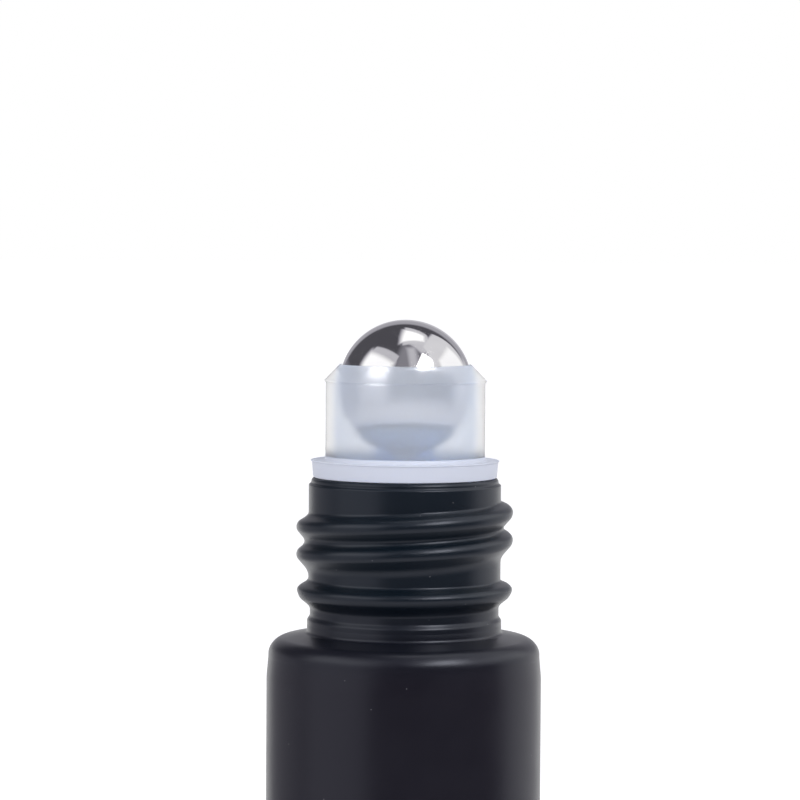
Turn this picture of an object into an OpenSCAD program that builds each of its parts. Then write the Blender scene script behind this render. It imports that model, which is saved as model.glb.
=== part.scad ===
// Roll on bottle: a glass bottle with a screw neck, a plastic roller housing
// plugged into the neck, and a steel ball snapped into the housing.
// Millimetres. +Z is up and the origin is the centre of the base.

/* [Glass body] */
// Height of the glass, from the base to the mouth
glass_h = 70; // [60:0.5:90]
// Diameter of the body
body_d = 20; // [18:0.25:30]
// Thickness of the body wall
wall_t = 1.9; // [1.5:0.1:2.4]
// Thickness of the base at the wall
base_t = 3; // [2.4:0.1:5]
// Radius of the heel, where the wall turns into the base
heel_r = 1.8; // [0.6:0.1:2.2]
// Radius of the shoulder's round edge
shoulder_r = 1.3; // [1:0.1:2]
// Slope of the shoulder, from its round edge up to the neck
shoulder_a = 10.5; // [4:0.5:20]
// How far the taper under the shoulder draws the body in
taper_in = 0.13; // [0.05:0.01:0.3]
// Height of the taper under the shoulder
taper_h = 1.1; // [0.6:0.05:2]
// Radius of the inside corners of the cavity
cavity_r = 2; // [1:0.1:2.5]
// Width of the flat ring that the bottle stands on
foot_w = 1.6; // [0.8:0.1:2]
// Depth of the hollow in the middle of the base
push_up = 0.8; // [0.4:0.1:1.2]

/* [Neck finish] */
// Diameter of the neck between its beads and threads
neck_d = 14; // [13.4:0.1:15]
// Height of the neck above the shoulder
neck_h = 11.35; // [11:0.05:14]
// Diameter of the bore through the neck
bore_d = 10.4; // [10:0.1:10.8]
// Diameter of the crown round the mouth
crown_d = 13.68; // [13.5:0.02:13.9]
// Height of the crown
crown_h = 0.5; // [0.3:0.05:0.8]
// Radius of the mouth's round edges
mouth_r = 0.3; // [0.1:0.05:0.35]
// Diameter of the neck between the bead and the collar
waist_d = 13.74; // [13.5:0.02:13.9]
// Diameter of the low collar at the root of the neck
collar_d = 14.14; // [14:0.02:15]
// Height of the collar above the shoulder
collar_h = 0.95; // [0.6:0.05:1.2]
// Height of the slope from the collar in to the waist
collar_slope_h = 0.3; // [0.1:0.05:0.4]

/* [Bead] */
// Height of the mouth above the middle of the bead
bead_drop = 8.35; // [8.2:0.05:8.8]
// How far the bead stands out of the neck
bead_rise = 0.88; // [0.6:0.02:1.1]
// Radius of the bead's crest
bead_r = 0.6; // [0.45:0.05:0.6]
// Angle of the bead's upper flank to the neck
bead_upper_a = 64; // [60:1:75]
// Angle of the bead's lower flank to the neck
bead_lower_a = 52; // [48:1:70]

/* [Screw thread] */
// Rise of the thread in one turn
thread_pitch = 2; // [1.98:0.02:2.1]
// Number of turns
thread_turns = 1.9; // [1:0.05:2]
// Height of the mouth above the middle of the thread's lower end
thread_drop = 6.0; // [5.8:0.05:6.1]
// How far the thread stands out of the neck
thread_rise = 0.89; // [0.6:0.01:0.89]
// Radius of the thread's crest
thread_r = 0.55; // [0.4:0.05:0.55]
// Angle of the thread's upper flank to the neck
thread_upper_a = 62; // [62:1:75]
// Angle of the thread's lower flank to the neck
thread_lower_a = 50; // [50:1:70]
// Where the lower end of the thread lies round the neck
thread_start_a = 107; // [0:1:359]
// Angle round the neck over which each end of the thread fades out
fade_a = 50; // [20:5:80]

/* [Roller housing] */
// Diameter of the cup
cup_d = 11.6; // [11.3:0.1:12.4]
// How far the ridge at the foot of the chamfer stands out of the cup
ridge_rise = 0.14; // [0.02:0.02:0.2]
// Height of the chamfer under the lip
chamfer_h = 1.18; // [0.9:0.02:1.4]
// Height of the lip's rim above the middle of the ball
lip_rise = 1.65; // [1.5:0.01:2]
// Thickness of the lip at its rim
lip_t = 0.13; // [0.1:0.01:0.2]
// Diameter of the flange that sits on the mouth
flange_d = 13.56; // [12.6:0.02:13.56]
// Thickness of the flange
flange_t = 1.25; // [1:0.05:1.6]
// How far the flange's sharp top edge stands out
flash_rise = 0.14; // [0.02:0.02:0.2]
// Draft of the flange's side, top to bottom
flange_draft = 0.1; // [0.02:0.02:0.2]
// Thickness of the floor between the cup and the plug
floor_t = 1; // [0.7:0.05:1.2]
// Diameter of the hole that feeds the ball
feed_d = 3; // [1.5:0.1:3.4]
// Number of low lugs round the feed hole that the ball is seated on
lugs = 4; // [3:1:5]
// Width of a seat lug
lug_w = 0.9; // [0.6:0.05:1]
// Diameter across the seat lugs
seat_d = 5; // [4.4:0.1:6]

/* [Plug] */
// Length of the plug below the flange
plug_l = 7.6; // [6:0.1:10]
// Thickness of the plug's wall
plug_t = 0.9; // [0.7:0.05:1]
// Gap between the plug's sealing rings and the bore of the neck
plug_gap = 0.03; // [0.01:0.01:0.1]
// How far the sealing rings stand out of the plug
ring_rise = 0.18; // [0.1:0.02:0.25]
// Height of a sealing ring
ring_h = 0.8; // [0.5:0.05:1]
// Number of sealing rings
rings = 3; // [1:1:3]
// Height of the taper that leads the plug into the neck
lead_h = 1; // [0.6:0.1:1.2]

/* [Roller ball] */
// Diameter of the ball
ball_d = 9.8; // [9.5:0.05:9.9]
// Gap between the ball and the housing
ball_gap = 0.05; // [0.03:0.01:0.1]
// Height of the ball's lowest point above the floor of the cup
ball_lift = 0.4; // [0.2:0.05:0.6]

/* [Hidden] */
body_r = body_d / 2;
neck_r = neck_d / 2;
bore_r = bore_d / 2;
crown_r = crown_d / 2;
body_top = glass_h - neck_h;
shoulder_x = body_r - taper_in - shoulder_r;
slope_x = shoulder_x + shoulder_r * sin(shoulder_a);
slope_z = body_top - (slope_x - collar_d / 2) * tan(shoulder_a);
edge_z = slope_z - shoulder_r * cos(shoulder_a);
cavity_x = body_r - wall_t;
cavity_top = body_top - wall_t;
foot_out = body_r - heel_r;
foot_in = foot_out - foot_w;
dome_r = (foot_in * foot_in + push_up * push_up) / (2 * push_up);

cup_r = cup_d / 2;
flange_r = flange_d / 2;
floor_z = glass_h + flange_t;
socket_r = ball_d / 2 + ball_gap;
ball_z = floor_z + ball_lift + ball_d / 2;
rim_z = ball_z + lip_rise;
rim_r = sqrt(socket_r * socket_r - lip_rise * lip_rise);
ridge_z = rim_z - chamfer_h;
seat_z = ball_z - sqrt(socket_r * socket_r - seat_d * seat_d / 4);
ring_r = bore_r - plug_gap;
plug_r = ring_r - ring_rise;
hollow_r = plug_r - plug_t;
plug_z = glass_h - plug_l;

// Overlap of pieces that are moulded as one
sink = 0.3;
// How far the flanks of the thread and the bead run on into the neck
thread_root = 0.08;
bead_root = 0.2;
// Slope height of a sharp moulded edge
edge_h = 0.12;
// Radius of the round corners where the cup meets the flange, and the neck the shoulder
corner_r = 0.3;
// Steps of the thread: one every so many degrees, and along the crest
thread_step_a = 10;
crest_steps = 6;
thread_sweep = thread_turns * 360;
thread_rings = ceil(thread_sweep / thread_step_a);
// Smallest share of the thread's height, at its very ends
fade_min = 0.04;

$fn = 96;

// Half section of a rib on the neck, x outwards from the neck's wall and y up:
// two straight flanks that run on into the wall to x = -root, each at its own
// angle to it, and a round crest.
function rib_outline(rise, crest_r, upper_a, lower_a, root) =
    let (
        mid = rise - crest_r,
        upper = [mid + crest_r * cos(upper_a), crest_r * sin(upper_a)],
        lower = [mid + crest_r * cos(lower_a), -crest_r * sin(lower_a)]
    )
    concat(
        [[-sink, lower.y - (lower.x + root) / tan(lower_a)]],
        [[-root, lower.y - (lower.x + root) / tan(lower_a)]],
        [for (i = [0:crest_steps])
            let (a = -lower_a + (upper_a + lower_a) * i / crest_steps)
            [mid + crest_r * cos(a), crest_r * sin(a)]],
        [[-root, upper.y + (upper.x + root) / tan(upper_a)]],
        [[-sink, upper.y + (upper.x + root) / tan(upper_a)]]
    );

// Share of its full height that the thread has a degrees along its sweep
function fade(a) =
    let (t = min(1, min(a, thread_sweep - a) / fade_a))
    max(fade_min, t * t * (3 - 2 * t));

// A point of the thread's section, a degrees along its sweep
function thread_point(p, a) =
    let (
        r = neck_r - sink + (p.x + sink) * fade(a),
        turn = thread_start_a + a
    )
    [r * cos(turn), r * sin(turn), glass_h - thread_drop + thread_pitch * a / 360 + p.y];

module thread() {
    outline = rib_outline(thread_rise, thread_r, thread_upper_a, thread_lower_a, thread_root);
    n = len(outline);
    last = thread_rings * n;
    points = [
        for (i = [0:thread_rings])
        for (p = outline)
        thread_point(p, thread_sweep * i / thread_rings)
    ];
    sides = [
        for (i = [0:thread_rings - 1])
        for (j = [0:n - 1])
        for (half = [0, 1])
        let (
            a = i * n + j,
            b = i * n + (j + 1) % n
        )
        half == 0 ? [a, b, b + n] : [a, b + n, a + n]
    ];
    first_cap = [for (j = [n - 1:-1:0]) j];
    last_cap = [for (j = [0:n - 1]) last + j];
    polyhedron(points = points, faces = concat(sides, [first_cap], [last_cap]), convexity = 8);
}

// Half outline of a block with one radius on its two outer corners, from y = 0
module rounded_block(r, h, corner) {
    square([r - corner, h]);
    translate([0, corner])
        square([r, h - 2 * corner]);
    translate([r - corner, corner])
        circle(corner);
    translate([r - corner, h - corner])
        circle(corner);
}

// Fills the inside corner between a wall at x = 0 and a floor at y = 0
module corner_outline() {
    difference() {
        translate([-sink, -sink])
            square(corner_r + sink);
        translate([corner_r, corner_r])
            circle(corner_r);
    }
}

// Half outline of the glass as if it were solid
module glass_outline() {
    // Body: heel, straight wall, taper and sloping shoulder
    polygon([
        [0, 0],
        [body_r - heel_r, 0],
        [body_r - heel_r, heel_r],
        [body_r, heel_r],
        [body_r, edge_z - taper_h],
        [body_r - taper_in, edge_z],
        [shoulder_x, edge_z],
        [slope_x, slope_z],
        [collar_d / 2, body_top],
        [0, body_top]
    ]);
    translate([body_r - heel_r, heel_r])
        circle(heel_r);
    translate([shoulder_x, edge_z])
        circle(shoulder_r);
    // Collar, waist, neck and crown
    polygon([
        [0, body_top - sink],
        [collar_d / 2, body_top - sink],
        [collar_d / 2, body_top + collar_h],
        [waist_d / 2, body_top + collar_h + collar_slope_h],
        [waist_d / 2, glass_h - bead_drop],
        [neck_r, glass_h - bead_drop],
        [neck_r, glass_h - crown_h],
        [crown_r, glass_h - crown_h + edge_h],
        [crown_r, glass_h - mouth_r],
        [crown_r - mouth_r, glass_h - mouth_r],
        [crown_r - mouth_r, glass_h],
        [0, glass_h]
    ]);
    translate([collar_d / 2, body_top - corner_r * tan(shoulder_a)])
        corner_outline();
    translate([crown_r - mouth_r, glass_h - mouth_r])
        circle(mouth_r);
    // Bead
    translate([neck_r, glass_h - bead_drop])
        polygon(rib_outline(bead_rise, bead_r, bead_upper_a, bead_lower_a, bead_root));
}

// Half outline of the space inside the glass
module cavity_outline() {
    translate([0, base_t])
        rounded_block(cavity_x, cavity_top - base_t, cavity_r);
    translate([0, cavity_top - sink])
        square([bore_r, glass_h - cavity_top + 2 * sink]);
}

module bottle() color([0.13, 0.13, 0.15]) {
    difference() {
        union() {
            rotate_extrude() glass_outline();
            thread();
        }
        rotate_extrude() cavity_outline();
        translate([0, 0, push_up - dome_r])
            sphere(dome_r);
    }
}

// Half outline of the housing from its rim down to the flange, as if solid
module cup_outline() {
    polygon([
        [0, glass_h],
        [flange_r - flange_draft, glass_h],
        [flange_r, floor_z - edge_h],
        [flange_r + flash_rise, floor_z],
        [cup_r, floor_z],
        [cup_r, ridge_z - edge_h],
        [cup_r + ridge_rise, ridge_z],
        [rim_r + lip_t, rim_z],
        [0, rim_z]
    ]);
    translate([cup_r, floor_z])
        corner_outline();
}

// Half outline of the plug with its sealing rings, as if solid
module plug_outline() {
    polygon([
        [0, glass_h + sink],
        [plug_r, glass_h + sink],
        [plug_r, plug_z + lead_h],
        [hollow_r + plug_t / 2, plug_z],
        [0, plug_z]
    ]);
    ring_pitch = (plug_l - lead_h) / rings;
    for (i = [0:rings - 1])
        translate([plug_r, plug_z + lead_h + ring_h / 2 + i * ring_pitch])
            polygon([
                [-sink, -ring_h / 2],
                [0, -ring_h / 2],
                [ring_rise, -ring_h / 6],
                [ring_rise, ring_h / 6],
                [0, ring_h / 2],
                [-sink, ring_h / 2]
            ]);
}

// Low lugs on the floor of the cup, hollowed to the ball, with gaps for the liquid
module seat_lugs() {
    lug_in = feed_d / 2;
    difference() {
        for (i = [0:lugs - 1])
            rotate([0, 0, 360 * (i + 0.5) / lugs])
                translate([lug_in, -lug_w / 2, floor_z - sink])
                    cube([seat_d / 2 - lug_in, lug_w, seat_z - floor_z + 2 * sink]);
        translate([0, 0, ball_z])
            sphere(socket_r);
    }
}

module roller_housing() color([0.85, 0.88, 0.93, 0.6]) {
    difference() {
        rotate_extrude() {
            cup_outline();
            plug_outline();
        }
        // Socket: a round ceiling under the lip and a straight wall below
        translate([0, 0, ball_z])
            sphere(socket_r);
        translate([0, 0, floor_z])
            cylinder(h = ball_z - floor_z, r = socket_r);
        // Feed hole and hollow of the plug
        translate([0, 0, floor_z - floor_t - sink])
            cylinder(h = floor_t + 2 * sink, r = feed_d / 2);
        translate([0, 0, plug_z - sink])
            cylinder(h = floor_z - floor_t - plug_z + sink, r = hollow_r);
    }
    seat_lugs();
}

module roller_ball() color([0.75, 0.76, 0.78]) {
    translate([0, 0, ball_z])
        sphere(ball_d / 2);
}

bottle();
roller_housing();
roller_ball();
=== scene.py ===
import math

import bpy
import numpy as np
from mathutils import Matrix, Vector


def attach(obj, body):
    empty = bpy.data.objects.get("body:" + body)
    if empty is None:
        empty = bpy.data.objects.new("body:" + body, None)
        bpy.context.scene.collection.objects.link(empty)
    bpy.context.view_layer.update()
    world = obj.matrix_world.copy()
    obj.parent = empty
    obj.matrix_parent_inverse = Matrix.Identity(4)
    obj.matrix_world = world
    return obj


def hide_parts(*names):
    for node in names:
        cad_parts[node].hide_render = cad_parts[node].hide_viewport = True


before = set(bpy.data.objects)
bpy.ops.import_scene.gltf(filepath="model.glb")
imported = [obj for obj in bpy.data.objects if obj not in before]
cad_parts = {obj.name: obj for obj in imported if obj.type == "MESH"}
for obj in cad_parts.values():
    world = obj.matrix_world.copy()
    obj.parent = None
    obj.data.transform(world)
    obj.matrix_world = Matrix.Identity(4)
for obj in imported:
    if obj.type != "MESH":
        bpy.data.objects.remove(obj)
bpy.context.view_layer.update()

# ------------------------------------------------------------ Glass bottle
# A blown glass bottle for 10 ml, round, with a moulded screw neck. The thread,
# the bead and the collar are part of the glass. Outside it is sprayed matte
# black as far as the inner edge of the mouth; inside it is bare, glossy glass.
# The sizes are in mm and degrees.
MM = 0.001
around = 256
foot_r = 6.6
push_up = 0.8
heel_round = 1.8
body_r = 10.0
taper_z = 55.4
taper_round = 6.0
shoulder_r = 9.87
shoulder_low_z = 56.9
shoulder_edge_z = 58.13
shoulder_round = 1.3
shoulder_top_z = 58.66
neck_foot_r = 7.08
neck_foot_z = 59.2
neck_r = 6.98
mouth_r = 6.81
mouth_z = 70.0
mouth_edge_r = 5.4
bore_r = 5.2
cavity_r = 8.1
cavity_top = 56.75
cavity_round = 2.0
base_t = 3.0
floor_ring_r = 0.5
neck_low_z, neck_high_z = 59.25, 69.66
lip_foot_z = 69.68
row_step = 0.06
seam_rise = 0.02
seam_from_r = 8.0


def arc(centre, radius, start, end, steps):
    """Points of a round stretch of an outline, angles in degrees from the +r direction."""
    turns = [math.radians(start + (end - start) * i / steps) for i in range(steps + 1)]
    return [(centre[0] + radius * math.cos(a), centre[1] + radius * math.sin(a)) for a in turns]


def rounded(corners, step=0.06):
    """An outline through (r, z, radius) corners, each rounded by an arc of its radius."""
    path = []
    for i, (r, z, radius) in enumerate(corners):
        here = np.array([r, z])
        if radius == 0 or i in (0, len(corners) - 1):
            path.append((r, z))
            continue
        back = np.array(corners[i - 1][:2]) - here
        ahead = np.array(corners[i + 1][:2]) - here
        back /= np.linalg.norm(back)
        ahead /= np.linalg.norm(ahead)
        half = math.acos(np.clip(back @ ahead, -1, 1)) / 2
        middle = back + ahead
        centre = here + middle / np.linalg.norm(middle) * radius / math.sin(half)
        first = here + back * radius / math.tan(half) - centre
        sweep = math.pi - 2 * half
        turn = math.copysign(1, -(back[0] * ahead[1] - back[1] * ahead[0]))
        steps = max(3, math.ceil(sweep * radius / step))
        for k in range(steps + 1):
            a = turn * sweep * k / steps
            x = first[0] * math.cos(a) - first[1] * math.sin(a)
            y = first[0] * math.sin(a) + first[1] * math.cos(a)
            path.append((centre[0] + x, centre[1] + y))
    return path


def new_piece(name, points, faces):
    """A smooth mesh object from points in mm."""
    mesh = bpy.data.meshes.new(name)
    mesh.from_pydata((np.array(points) * MM).tolist(), [], faces)
    mesh.shade_smooth()
    piece = bpy.data.objects.new(name, mesh)
    bpy.context.scene.collection.objects.link(piece)
    return piece


def lathe(name, rows, segments, loop=False):
    """Closed mesh turned about Z. A row is r and z in mm, each one number or one per segment."""
    turn = np.arange(segments) * 2 * math.pi / segments
    points, rings = [], []
    for r, z in rows:
        pole = np.isscalar(r) and r == 0
        count = 1 if pole else segments
        radius = np.zeros(1) if pole else np.broadcast_to(r, segments)
        height = np.broadcast_to(z, count)
        angle = turn[:count]
        rings.append((len(points), pole))
        points += np.stack([radius * np.cos(angle), radius * np.sin(angle), height], 1).tolist()
    faces = []
    pairs = list(zip(rings, rings[1:])) + ([(rings[-1], rings[0])] if loop else [])
    for (low, low_pole), (high, high_pole) in pairs:
        for j in range(segments):
            k = (j + 1) % segments
            if low_pole:
                faces.append((low, high + k, high + j))
            elif high_pole:
                faces.append((low + j, low + k, high))
            else:
                faces.append((low + j, low + k, high + k, high + j))
    return new_piece(name, points, faces)


def rib(u, rise, crest_r, upper_a, lower_a):
    """Height of a moulded rib u mm above its crest: a round crest between two straight flanks."""
    upper, lower = np.radians(upper_a), np.radians(lower_a)
    top = rise - crest_r
    crest = top + np.sqrt(np.maximum(crest_r ** 2 - u ** 2, 0))
    above = top + crest_r * np.cos(upper) - np.tan(upper) * (u - crest_r * np.sin(upper))
    below = top + crest_r * np.cos(lower) + np.tan(lower) * (u + crest_r * np.sin(lower))
    crest_or_below = np.where(u < -crest_r * np.sin(lower), below, crest)
    return np.where(u > crest_r * np.sin(upper), above, crest_or_below)


def blend_max(a, b, width):
    """The greater of two heights, with a smooth fillet where they cross."""
    return np.maximum(a, b) + np.maximum(width - np.abs(a - b), 0) ** 2 / (4 * width)


def smooth_step(value, low, high):
    """0 below low, 1 above high and a smooth rise between them."""
    t = np.clip((value - low) / (high - low), 0, 1)
    return t * t * (3 - 2 * t)


thread_pitch = 2.0
thread_start_a = 107.0
thread_start_z = 64.0
thread_sweep = 684.0
thread_fade = 60.0
thread_rise = 0.885
thread_crest_r = 0.6
thread_lower_a = 41
thread_sunk = 0.5
thread_fillet = 1.0
bead_z = 61.65
bead_rise = 0.88
bead_crest_r = 0.62
bead_lower_a = 51
bead_fillet = 0.3
upper_flank_a = 63
flank_swing_a = 5
bead_steeper_a = 1
rib_lean = 0.06
wall_fillet = 0.34
under_wall = -1.0
waist_in = 0.12
waist_half = 0.3
collar_out = 0.2
collar_low_z, collar_high_z = 59.55, 59.98
mouth_step_in = 0.17
mouth_step_low_z, mouth_step_high_z = 69.44, 69.62


def neck_radius(z, angle):
    """Outer radius of the neck: wall, waist and collar, with the bead and the screw thread on it."""
    wall = neck_r - waist_in * smooth_step(-z, -(bead_z + waist_half), -(bead_z - waist_half))
    wall = wall + collar_out * smooth_step(-z, -collar_high_z, -collar_low_z)
    wall = wall - mouth_step_in * smooth_step(z, mouth_step_low_z, mouth_step_high_z)
    height = np.full_like(z, under_wall)
    z = z - rib_lean * np.cos(np.radians(angle))
    upper_a = upper_flank_a + flank_swing_a * np.cos(np.radians(angle))
    for turn in (0, 1):
        along = (angle - thread_start_a) % 360 + 360 * turn
        u = z - (thread_start_z + thread_pitch * along / 360)
        fade = smooth_step(np.minimum(along, thread_sweep - along), 0, thread_fade)
        ridge = rib(u, thread_rise, thread_crest_r, upper_a, thread_lower_a)
        height = blend_max(height, (ridge + thread_sunk) * fade - thread_sunk, thread_fillet)
    bead = rib(z - bead_z, bead_rise, bead_crest_r, upper_a + bead_steeper_a, bead_lower_a)
    height = blend_max(blend_max(height, bead, bead_fillet), np.zeros_like(z), wall_fillet)
    return wall + height


angles = np.arange(around) * 360 / around
seam = np.where(np.isin(np.arange(around), (0, around // 2)), seam_rise, 0.0)
dome_r = (foot_r ** 2 + push_up ** 2) / (2 * push_up)
dome_a = math.degrees(math.asin(foot_r / dome_r))
underside = arc((0, push_up - dome_r), dome_r, 90, 90 - dome_a, 14)
outside = rounded([
    (foot_r, 0, 0),
    (body_r, 0, heel_round),
    (body_r, taper_z, taper_round),
    (shoulder_r, shoulder_low_z, 2.5),
    (shoulder_r, shoulder_edge_z, shoulder_round),
    (neck_foot_r, shoulder_top_z, 0.3),
    (neck_foot_r, neck_foot_z, 0),
])
neck_zs = np.arange(neck_low_z, neck_high_z, row_step)
lip = rounded([(mouth_r, lip_foot_z, 0), (mouth_r, mouth_z, 0.3), (mouth_edge_r, mouth_z, 0)])
inside = rounded([
    (mouth_edge_r, mouth_z, 0),
    (bore_r, mouth_z, 0.2),
    (bore_r, cavity_top, 0.5),
    (cavity_r, cavity_top, cavity_round),
    (cavity_r, base_t, cavity_round),
    (floor_ring_r, base_t, 0),
])
rows = [(0, push_up)] + underside[1:] + [(r + seam * (r > seam_from_r), z) for r, z in outside[1:]]
rows += [(neck_radius(np.full(around, z), angles) + seam, np.full(around, z)) for z in neck_zs]
first_inside_row = len(rows) + len(lip) - 1
rows += lip + inside[1:] + [(0, base_t)]
bottle = lathe("glass_bottle", rows, around)


def connect(tree, to, **inputs):
    """Feeds inputs of a node, each called by its name or by i and its number, with values or sockets."""
    for name, value in inputs.items():
        numbered = name[0] == "i" and name[1:].isdigit()
        socket = to.inputs[int(name[1:]) if numbered else name.replace("_", " ")]
        if isinstance(value, bpy.types.NodeSocket):
            tree.links.new(value, socket)
        else:
            socket.default_value = value


def node(tree, kind, settings=None, **inputs):
    """Adds a node with its settings and inputs."""
    new = tree.nodes.new(kind)
    for name, value in (settings or {}).items():
        setattr(new, name, value)
    connect(tree, new, **inputs)
    return new


def calc(tree, operation, a, b=0.0, c=0.0):
    """Result of one sum, product or comparison."""
    return node(tree, "ShaderNodeMath", {"operation": operation}, i0=a, i1=b, i2=c).outputs[0]


def spread(tree, value, low, high, to_low=0.0, to_high=1.0, kind="LINEAR"):
    """Value taken from low..high to to_low..to_high, and held at its ends."""
    return node(tree, "ShaderNodeMapRange", {"interpolation_type": kind},
                i0=value, i1=low, i2=high, i3=to_low, i4=to_high).outputs[0]


def varied(tree, variation, low, high):
    """Value from low to high, as the slow variation of a surface goes."""
    return spread(tree, variation, 0.3, 0.7, low, high)


def between(tree, share, first, second, kind="MIX"):
    """Colour between two, by a share from 0 to 1. Each is red, green and blue, or a socket."""
    first, second = (c if isinstance(c, bpy.types.NodeSocket) else (*c, 1) for c in (first, second))
    return node(tree, "ShaderNodeMix", {"data_type": "RGBA", "blend_type": kind},
                i0=share, i6=first, i7=second).outputs[2]


def relief(tree, height, strength, depth):
    """Normals of fine unevenness, its depth in metres."""
    return node(tree, "ShaderNodeBump", Height=height, Strength=strength, Distance=depth).outputs[0]


def group(name, inputs, outputs):
    """A shader node group with named float, colour or vector inputs and outputs."""
    tree = bpy.data.node_groups.new(name, "ShaderNodeTree")
    for label, kind, value in inputs:
        socket = tree.interface.new_socket(label, in_out="INPUT", socket_type=kind)
        socket.default_value = value
    for label, kind in outputs:
        tree.interface.new_socket(label, in_out="OUTPUT", socket_type=kind)
    return tree, tree.nodes.new("NodeGroupInput").outputs, tree.nodes.new("NodeGroupOutput").inputs


def place(tree, made_group, **inputs):
    """Puts a node group in a material, with values of its own."""
    return node(tree, "ShaderNodeGroup", {"node_tree": made_group}, **inputs)


def material(name):
    """A new material with its node tree, its shader and the object's own coordinates in mm."""
    made = bpy.data.materials.new(name)
    made.use_nodes = True
    tree = made.node_tree
    shader = tree.nodes["Principled BSDF"]
    where = node(tree, "ShaderNodeTexCoord").outputs["Object"]
    in_mm = node(tree, "ShaderNodeVectorMath", {"operation": "SCALE"}, i0=where, Scale=1 / MM).outputs[0]
    return made, tree, shader, in_mm


# Fine unevenness of a sprayed, moulded or polished surface: a height and a slow variation
grain, g_in, g_out = group(
    "surface_grain",
    [("Place", "NodeSocketVector", (0, 0, 0)), ("Fine per mm", "NodeSocketFloat", 8.0),
     ("Broad per mm", "NodeSocketFloat", 0.5), ("Broad share", "NodeSocketFloat", 0.5)],
    [("Height", "NodeSocketFloat"), ("Variation", "NodeSocketFloat")],
)
fine = node(grain, "ShaderNodeTexNoise", Vector=g_in["Place"], Scale=g_in["Fine per mm"],
            Detail=3.0, Roughness=0.6)
broad = node(grain, "ShaderNodeTexNoise", Vector=g_in["Place"], Scale=g_in["Broad per mm"], Detail=2.0)
mixed = node(grain, "ShaderNodeMix", i0=g_in["Broad share"], i2=fine.outputs[0], i3=broad.outputs[0])
grain.links.new(mixed.outputs[0], g_out["Height"])
grain.links.new(broad.outputs[0], g_out["Variation"])

# Sparse pale dust: a few cells of a cell pattern have a speck at their middle
specks, s_in, s_out = group(
    "dust_specks",
    [("Place", "NodeSocketVector", (0, 0, 0)), ("Per mm", "NodeSocketFloat", 1.0),
     ("Size", "NodeSocketFloat", 0.05), ("Share", "NodeSocketFloat", 0.1)],
    [("Mask", "NodeSocketFloat")],
)
cells = node(specks, "ShaderNodeTexVoronoi", Vector=s_in["Place"], Scale=s_in["Per mm"])
near = calc(specks, "LESS_THAN", cells.outputs["Distance"], s_in["Size"])
lot = node(specks, "ShaderNodeSeparateColor", Color=cells.outputs["Color"]).outputs[0]
chosen = calc(specks, "LESS_THAN", lot, s_in["Share"])
specks.links.new(calc(specks, "MULTIPLY", near, chosen), s_out["Mask"])

body_black = (0.0049, 0.0038, 0.0081)
worn_black = (0.0065, 0.0052, 0.0099)
# Bluer black for the neck: a painted tint of the bluish light reflected there, not a colour of the
# coating
neck_black_painted_tint = (0.0026, 0.0064, 0.0112)
dust_grey = (0.16, 0.16, 0.17)
painted_tint_from_z, painted_tint_to_z = 56.0, 62.0

coating, tree, shader, in_mm = material("matte_black_coating")
sprayed = place(tree, grain, Place=in_mm, Fine_per_mm=9.0, Broad_per_mm=0.35, Broad_share=0.35).outputs
dust = place(tree, specks, Place=in_mm, Per_mm=1.2, Size=0.045, Share=0.3).outputs
height = node(tree, "ShaderNodeSeparateXYZ", Vector=in_mm).outputs["Z"]
black = between(tree, sprayed["Variation"], body_black, worn_black)
# The black turns bluer towards the neck: painted tint of reflected light on one and the same coating
black = between(tree, spread(tree, height, painted_tint_from_z, painted_tint_to_z), black, neck_black_painted_tint)
connect(
    tree, shader,
    Base_Color=between(tree, dust["Mask"], black, dust_grey),
    Roughness=varied(tree, sprayed["Variation"], 0.31, 0.35),
    Normal=relief(tree, sprayed["Height"], 0.6, 0.00001),
    IOR=1.54,
    Specular_Tint=(0.85, 0.88, 1.0, 1),
)

bare, tree, shader, in_mm = material("bare_glass_inside")
blown = place(tree, grain, Place=in_mm, Fine_per_mm=0.8, Broad_per_mm=0.12, Broad_share=0.6).outputs
connect(
    tree, shader,
    Base_Color=between(tree, blown["Variation"], (0.011, 0.012, 0.014), (0.018, 0.019, 0.022)),
    Normal=relief(tree, blown["Height"], 0.3, 0.00005),
    Roughness=0.06,
    IOR=1.52,
)

bottle.data.materials.append(coating)
bottle.data.materials.append(bare)
for face in bottle.data.polygons[around * first_inside_row:]:
    face.material_index = 1
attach(bottle, "bottle")
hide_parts("bottle")

# --------------------------------------------------------- Roller housing
# One moulding in milky, see-through natural plastic: a cup with a thin lip that
# holds the ball, four low lugs that seat it, a flange on the mouth of the glass
# and a hollow plug with three sealing rings pressed into the neck.
ball_r = 4.9
ball_z = 76.55
socket_r = 4.95
cup_r = 5.8
floor_z = 71.25
rim_z = 78.2
rim_r = math.sqrt(socket_r ** 2 - (rim_z - ball_z) ** 2)
rim_in, rim_out = 0.02, 0.13
ridge_out = 0.14
ridge_down = 1.3
ridge_t = 0.12
wall_row_z = 74.0
floor_row_r = 3.2
flange_r = 6.78
flange_draft = 0.1
flange_edge_out = 0.14
flange_edge_t = 0.12
plug_r = 4.99
plug_end_r = 4.54
plug_end_z = 62.4
hollow_r = 4.09
hollow_top_z = 70.3
hollow_low_z, hollow_high_z = 66.0, 68.0
ring_r = 5.17
ring_count = 3
first_ring_up = 1.4
ring_pitch = 2.2
ring_foot = 0.4
ring_crest = 0.15
feed_r = 1.5
feed_down = 0.3
lug_out = 2.5
lug_w = 0.9
lug_soft = 0.05
lug_slack = 0.02
beyond_lug = 0.06

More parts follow.
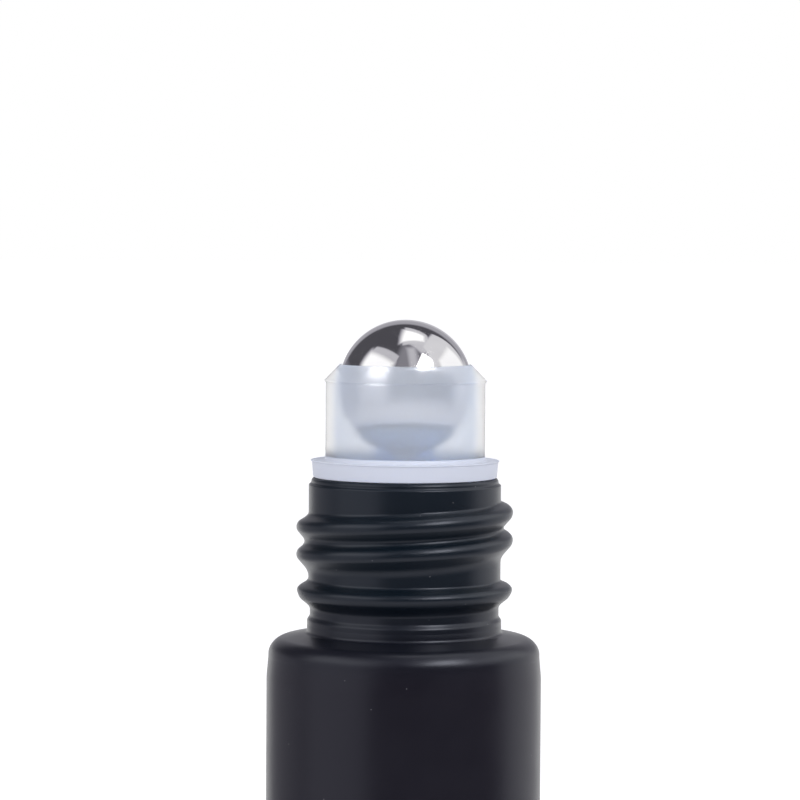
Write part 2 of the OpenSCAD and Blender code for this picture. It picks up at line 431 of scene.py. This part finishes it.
rings = []
for i in range(ring_count):
    z = plug_end_z + first_ring_up + i * ring_pitch
    rings += [(plug_r, z - ring_foot, 0.1), (ring_r, z - ring_crest, 0.1)]
    rings += [(ring_r, z + ring_crest, 0.1), (plug_r, z + ring_foot, 0.1)]
outer = rounded([
    (hollow_r, hollow_low_z, 0),
    (hollow_r, plug_end_z, 0.15),
    (plug_end_r, plug_end_z, 0.15),
    *rings,
    (plug_r, mouth_z, 0.1),
    (flange_r - flange_draft, mouth_z, 0.1),
    (flange_r, floor_z - flange_edge_t, 0.1),
    (flange_r + flange_edge_out, floor_z, 0.03),
    (cup_r, floor_z, 0.3),
    (cup_r, rim_z - ridge_down, 0.12),
    (cup_r + ridge_out, rim_z - ridge_down + ridge_t, 0.05),
    (rim_r + rim_out, rim_z, 0.04),
    (rim_r + rim_in, rim_z, 0),
], step=0.05)
top_a = math.degrees(math.asin((rim_z - ball_z) / socket_r))
socket = arc((0, ball_z), socket_r, top_a, 0, 24)
floor_path = rounded([
    (socket_r, wall_row_z, 0),
    (socket_r, floor_z, 0.15),
    (floor_row_r, floor_z, 0),
], step=0.05)
lug_rs = np.linspace(lug_out + beyond_lug, feed_r, 23)
below = rounded([
    (feed_r, floor_z - feed_down, 0),
    (feed_r, hollow_top_z, 0.1),
    (hollow_r, hollow_top_z, 0.25),
    (hollow_r, hollow_high_z, 0),
], step=0.05)
turn = np.arange(around) * 2 * math.pi / around


def seat_height(r):
    """Height of the cup's floor at radius r: the lugs rise to just under the ball."""
    across = np.abs(r * np.sin(turn % (math.pi / 2) - math.pi / 4))
    on_lug = smooth_step(-across, -(lug_w / 2 + lug_soft), -(lug_w / 2 - lug_soft))
    on_lug = on_lug * (r < lug_out + lug_slack)
    top = ball_z - math.sqrt(socket_r ** 2 - r ** 2)
    return floor_z + on_lug * (top - floor_z)


rows = outer + socket + floor_path + [(r, seat_height(r)) for r in lug_rs] + below
housing = lathe("roller_housing_moulding", rows, around, loop=True)


def natural_plastic(name, clearness, blur, ior, veil, colour):
    """Milky plastic: crystals too fine to see blur what shines through and scatter a blue veil."""
    made, tree, shader, in_mm = material(name)
    flow = place(tree, grain, Place=in_mm, Fine_per_mm=2.5, Broad_per_mm=0.3, Broad_share=0.6).outputs
    connect(
        tree, shader,
        Base_Color=between(tree, flow["Variation"], [0.97 * c for c in colour], colour),
        Roughness=varied(tree, flow["Variation"], blur - 0.03, blur + 0.03),
        Normal=relief(tree, flow["Height"], 0.3, 0.00002),
        IOR=ior,
        Transmission_Weight=clearness,
        Sheen_Weight=veil,
        Sheen_Roughness=1.0,
        Sheen_Tint=(0.12, 0.44, 1.0, 1),
    )
    return made


# Each: clearness, blur, refraction, veil, colour
plastics = {
    "milky_skin": (0.85, 0.6, 1.09, 0.0, (1.0, 0.99, 0.975)),
    "thick_milky_plastic": (0.15, 0.5, 1.49, 0.0, (0.73, 0.77, 0.87)),
    "milky_inner_wall": (0.79, 0.4, 1.05, 0.27, (0.97, 0.98, 1.0)),
    # The cup's floor, lugs and holes under the ball get a darker, bluer colour: painted shade of the ball
    # over them
    "milky_seat_painted_shade": (0.6, 0.5, 1.2, 0.0, (0.3, 0.53, 0.96)),
}
for name, recipe in plastics.items():
    housing.data.materials.append(natural_plastic(name, *recipe))
skin, thick, wall, seat = range(len(plastics))
skin_from_z = floor_z + 0.35
seat_edge_r = 4.3
fillet_rows = 4
wall_rows = range(len(outer), len(outer) + len(socket) + fillet_rows)
for index, face in enumerate(housing.data.polygons):
    row = index // around
    if row in wall_rows:
        face.material_index = wall
    # Faces under the ball take the darker blue colour, which is painted shade
    elif row >= len(outer) and math.hypot(face.center.x, face.center.y) < seat_edge_r * MM:
        face.material_index = seat
    else:
        face.material_index = skin if face.center.z > skin_from_z * MM else thick
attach(housing, "housing")
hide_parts("roller_housing")

# ------------------------------------------------------------ Roller ball
# A hardened stainless bearing ball, ground round and polished to a mirror. It
# snaps past the lip and rolls on the lugs, with the faintest rub marks on it.
ball_steps = 56
steel_grey = (0.68, 0.67, 0.685)
steel_pale = (0.82, 0.815, 0.82)


def ball_mesh(name, radius, z, steps):
    """A ball from the six faces of a cube, so that its mesh has no poles."""
    ticks = np.tan(np.linspace(-math.pi / 4, math.pi / 4, steps + 1))
    index, points, faces = {}, [], []

    def point(p):
        """Number of the ball's point under a point of the cube, made at its first use."""
        key = tuple(np.round(p, 9))
        if key not in index:
            index[key] = len(points)
            points.append(radius * np.array(p) / np.linalg.norm(p) + (0, 0, z))
        return index[key]

    for axis in range(3):
        for side in (-1, 1):
            for a, a2 in zip(ticks, ticks[1:]):
                for b, b2 in zip(ticks, ticks[1:]):
                    corners = [(a, b), (a2, b), (a2, b2), (a, b2)][::side]
                    faces.append([point(np.roll((side, *c), axis)) for c in corners])
    return new_piece(name, points, faces)


ball = ball_mesh("steel_ball", ball_r, ball_z, ball_steps)

steel, tree, shader, in_mm = material("polished_steel")
polish = place(tree, grain, Place=in_mm, Fine_per_mm=6.0, Broad_per_mm=0.4, Broad_share=0.3).outputs
rubbed = node(tree, "ShaderNodeTexNoise", Vector=in_mm, Scale=0.55, Detail=1.0, Roughness=0.35).outputs[0]
off_mark = calc(tree, "ABSOLUTE", calc(tree, "SUBTRACT", rubbed, 0.5))
rub_mark = spread(tree, off_mark, 0.0, 0.01, 0.1, 0.0)
connect(
    tree, shader,
    Base_Color=between(tree, polish["Variation"], steel_grey, steel_pale),
    Roughness=calc(tree, "ADD", varied(tree, polish["Variation"], 0.05, 0.09), rub_mark),
    Normal=relief(tree, polish["Height"], 0.05, 0.000003),
    Metallic=1.0,
)

ball.data.materials.append(steel)
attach(ball, "ball")
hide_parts("roller_ball")

# ------------------------------------------------------------------ Floor
# A wide white table. Its light for the camera makes the bare table white and
# leaves the bottle's own soft shadow on it.
table_half = 15.0
table_glow = 0.46
floor_mesh = bpy.data.meshes.new("table")
table_corners = [(x * table_half, y * table_half, 0) for x, y in ((-1, -1), (1, -1), (1, 1), (-1, 1))]
floor_mesh.from_pydata(table_corners, [], [(0, 1, 2, 3)])
floor = bpy.data.objects.new("table", floor_mesh)
bpy.context.scene.collection.objects.link(floor)

white, tree, shader, in_mm = material("white_table")
path = node(tree, "ShaderNodeLightPath").outputs
seen = calc(tree, "ADD", path["Is Camera Ray"], path["Is Transmission Ray"])
connect(
    tree, shader,
    Base_Color=(0.8, 0.8, 0.81, 1),
    Roughness=0.9,
    Specular_IOR_Level=0.0,
    Emission_Color=(1, 1, 1, 1),
    Emission_Strength=calc(tree, "MULTIPLY", seen, table_glow),
)
floor.visible_glossy = False
floor.visible_transmission = False
floor.data.materials.append(white)

# ------------------------------------------------------- Studio and lamps
# Plain, even light for every surface, and a studio that only mirrored rays
# show: softboxes left, right and overhead, a white backdrop and table, and the
# dim room on the camera's side.
dim_room = 0.09
even_light = 0.7
dim_tint = (1.01, 0.98, 1.14)
below_level = 0.75
below_from_a, below_to_a = 6, 36
backdrop_way = (176, 4)
# Each disc of the backdrop: the angle from its middle where it starts to fade, where it ends, level
backdrop_discs = ((32, 43, 0.44), (14, 26, 0.6))
# Each softbox: its four corners in turn, as azimuth and elevation, soft edge, level
softboxes = {
    "left": (((-100, 54), (-17, 56), (-32, -20), (-86, -22)), 0.06, 0.64),
    "left, bright middle": (((-99, 46), (-24, 44), (-27, 16), (-94, 14)), 0.3, 1.35),
    "left, far and low": (((-92, 14), (-146, 12), (-148, -30), (-92, -30)), 0.3, 0.42),
    "overhead": (((-179, 54), (140, 58), (86, 57), (-22, 77)), 0.06, 0.72),
    "overhead, bright middle": (((-176, 62), (134, 62), (98, 66), (-50, 80)), 0.18, 1.45),
    "small spot": (((50, 57), (61, 42), (51, 25), (17, 29)), 0.07, 6.6),
    "right": (((70, 67), (146, 48), (136, 12), (52, 18)), 0.06, 0.82),
    "right, bright middle": (((72, 42), (130, 40), (136, 8), (66, 14)), 0.3, 1.25),
    "right, far and low": (((84, 20), (148, 16), (150, -30), (96, -30)), 0.4, 0.8),
    "dim panel over the camera": (((-30, 80), (40, 76), (28, 22), (-24, 22)), 0.3, 0.28),
    "grey panel over the camera": (((-4, 74), (50, 72), (26, 30), (6, 30)), 0.25, 0.62),
    "between overhead and right": (((20, 80), (112, 62), (78, 48), (44, 58)), 0.15, 0.68),
    "white table": (((-145, 4), (145, 4), (150, -40), (-150, -40)), 0.12, 1.15),
}

world = bpy.data.worlds.new("studio")
bpy.context.scene.world = world
world.use_nodes = True
world.cycles.sampling_method = "NONE"
tree = world.node_tree
tree.nodes.clear()

softbox, b_in, b_out = group(
    "softbox",
    [("Direction", "NodeSocketVector", (0, 0, 1)), ("Side 1", "NodeSocketVector", (0, 0, 1)),
     ("Side 2", "NodeSocketVector", (0, 0, 1)), ("Side 3", "NodeSocketVector", (0, 0, 1)),
     ("Side 4", "NodeSocketVector", (0, 0, 1)), ("Soft edge", "NodeSocketFloat", 0.03)],
    [("Mask", "NodeSocketFloat")],
)


def dot(tree, a, b):
    """How far one direction points along another, from -1 to 1."""
    return node(tree, "ShaderNodeVectorMath", {"operation": "DOT_PRODUCT"}, i0=a, i1=b).outputs["Value"]


def heading(azimuth, elevation):
    """Unit direction, its azimuth counted from the camera's side and positive to the right."""
    a, e = math.radians(azimuth), math.radians(elevation)
    return np.array([math.sin(a) * math.cos(e), -math.cos(a) * math.cos(e), math.sin(e)])


inside_by = [dot(softbox, b_in["Direction"], b_in[f"Side {i}"]) for i in (1, 2, 3, 4)]
least = calc(softbox, "MINIMUM", calc(softbox, "MINIMUM", inside_by[0], inside_by[1]),
             calc(softbox, "MINIMUM", inside_by[2], inside_by[3]))
in_edge = calc(softbox, "DIVIDE", least, b_in["Soft edge"])
softbox.links.new(spread(softbox, in_edge, -0.5, 0.5, kind="SMOOTHSTEP"), b_out["Mask"])

toward = node(tree, "ShaderNodeTexCoord").outputs["Generated"]
light = dim_room
for name, (corners, soft_edge, level) in softboxes.items():
    ways = [heading(*corner) for corner in corners]
    sides = [np.cross(a, b) for a, b in zip(ways, ways[1:] + ways[:1])]
    sides = [side / np.linalg.norm(side) * math.copysign(1, side @ sum(ways)) for side in sides]
    named = {f"Side_{i + 1}": tuple(side) for i, side in enumerate(sides)}
    box = place(tree, softbox, Direction=toward, Soft_edge=soft_edge, **named)
    box.label = name
    light = calc(tree, "MAXIMUM", light, calc(tree, "MULTIPLY", box.outputs["Mask"], level))
down = dot(tree, toward, (0, 0, -1))
below_from, below_to = math.sin(math.radians(below_from_a)), math.sin(math.radians(below_to_a))
below = spread(tree, down, below_from, below_to, 0.0, below_level, "SMOOTHSTEP")
light = calc(tree, "MAXIMUM", light, below)
facing = dot(tree, toward, tuple(heading(*backdrop_way)))
for full_a, end_a, level in backdrop_discs:
    full, end = math.cos(math.radians(full_a)), math.cos(math.radians(end_a))
    disc = spread(tree, facing, end, full, 0.0, level, "SMOOTHSTEP")
    light = calc(tree, "MAXIMUM", light, disc)
path = node(tree, "ShaderNodeLightPath").outputs
mirrored = calc(tree, "GREATER_THAN", path["Glossy Depth"], 0.5)
through = node(tree, "ShaderNodeMix", i0=mirrored, i2=1.0, i3=light).outputs[0]
shown = node(tree, "ShaderNodeMix", i0=path["Is Diffuse Ray"], i2=through, i3=even_light).outputs[0]
tinted = between(tree, 1.0, shown, between(tree, shown, dim_tint, (1, 1, 1)), "MULTIPLY")
background = node(tree, "ShaderNodeBackground", Color=tinted, Strength=1.0)
output = node(tree, "ShaderNodeOutputWorld")
tree.links.new(background.outputs[0], output.inputs["Surface"])

aim_z = 0.06
lamp_size = 0.5
lamps = {"key_light": ((0.45, -0.5, 0.65), 3.2), "fill_light": ((-0.6, -0.45, 0.4), 1.6)}
for name, (spot, power) in lamps.items():
    lamp = bpy.data.lights.new(name, "AREA")
    lamp.size = lamp_size
    lamp.energy = power
    lamp_object = bpy.data.objects.new(name, lamp)
    bpy.context.scene.collection.objects.link(lamp_object)
    lamp_object.location = spot
    aim = -np.array(spot) + (0, 0, aim_z)
    lamp_object.rotation_euler = Vector(aim).to_track_quat("-Z", "Y").to_euler()
    lamp_object.visible_glossy = False
    lamp_object.visible_camera = False

# ----------------------------------------------------------------- Camera
# A long lens close in front of the bottle, a little above the ball and tilted
# slightly down: the lower edge of the frame cuts the bottle off.
distance = 0.242
camera_x = -0.0004
camera_z = 0.087
pitch = -2.695
roll = 0.36
camera = bpy.data.cameras.new("camera")
camera.lens = 150.0
camera.sensor_width = 36.0
camera.clip_start = 0.01
camera.clip_end = 40.0
camera_object = bpy.data.objects.new("camera", camera)
bpy.context.scene.collection.objects.link(camera_object)
bpy.context.scene.camera = camera_object
camera_object.location = (camera_x, -distance, camera_z)
tilt = Matrix.Rotation(math.radians(90 + pitch), 4, "X")
camera_object.rotation_euler = (tilt @ Matrix.Rotation(math.radians(roll), 4, "Z")).to_euler()
bpy.context.scene.view_settings.view_transform = "Standard"
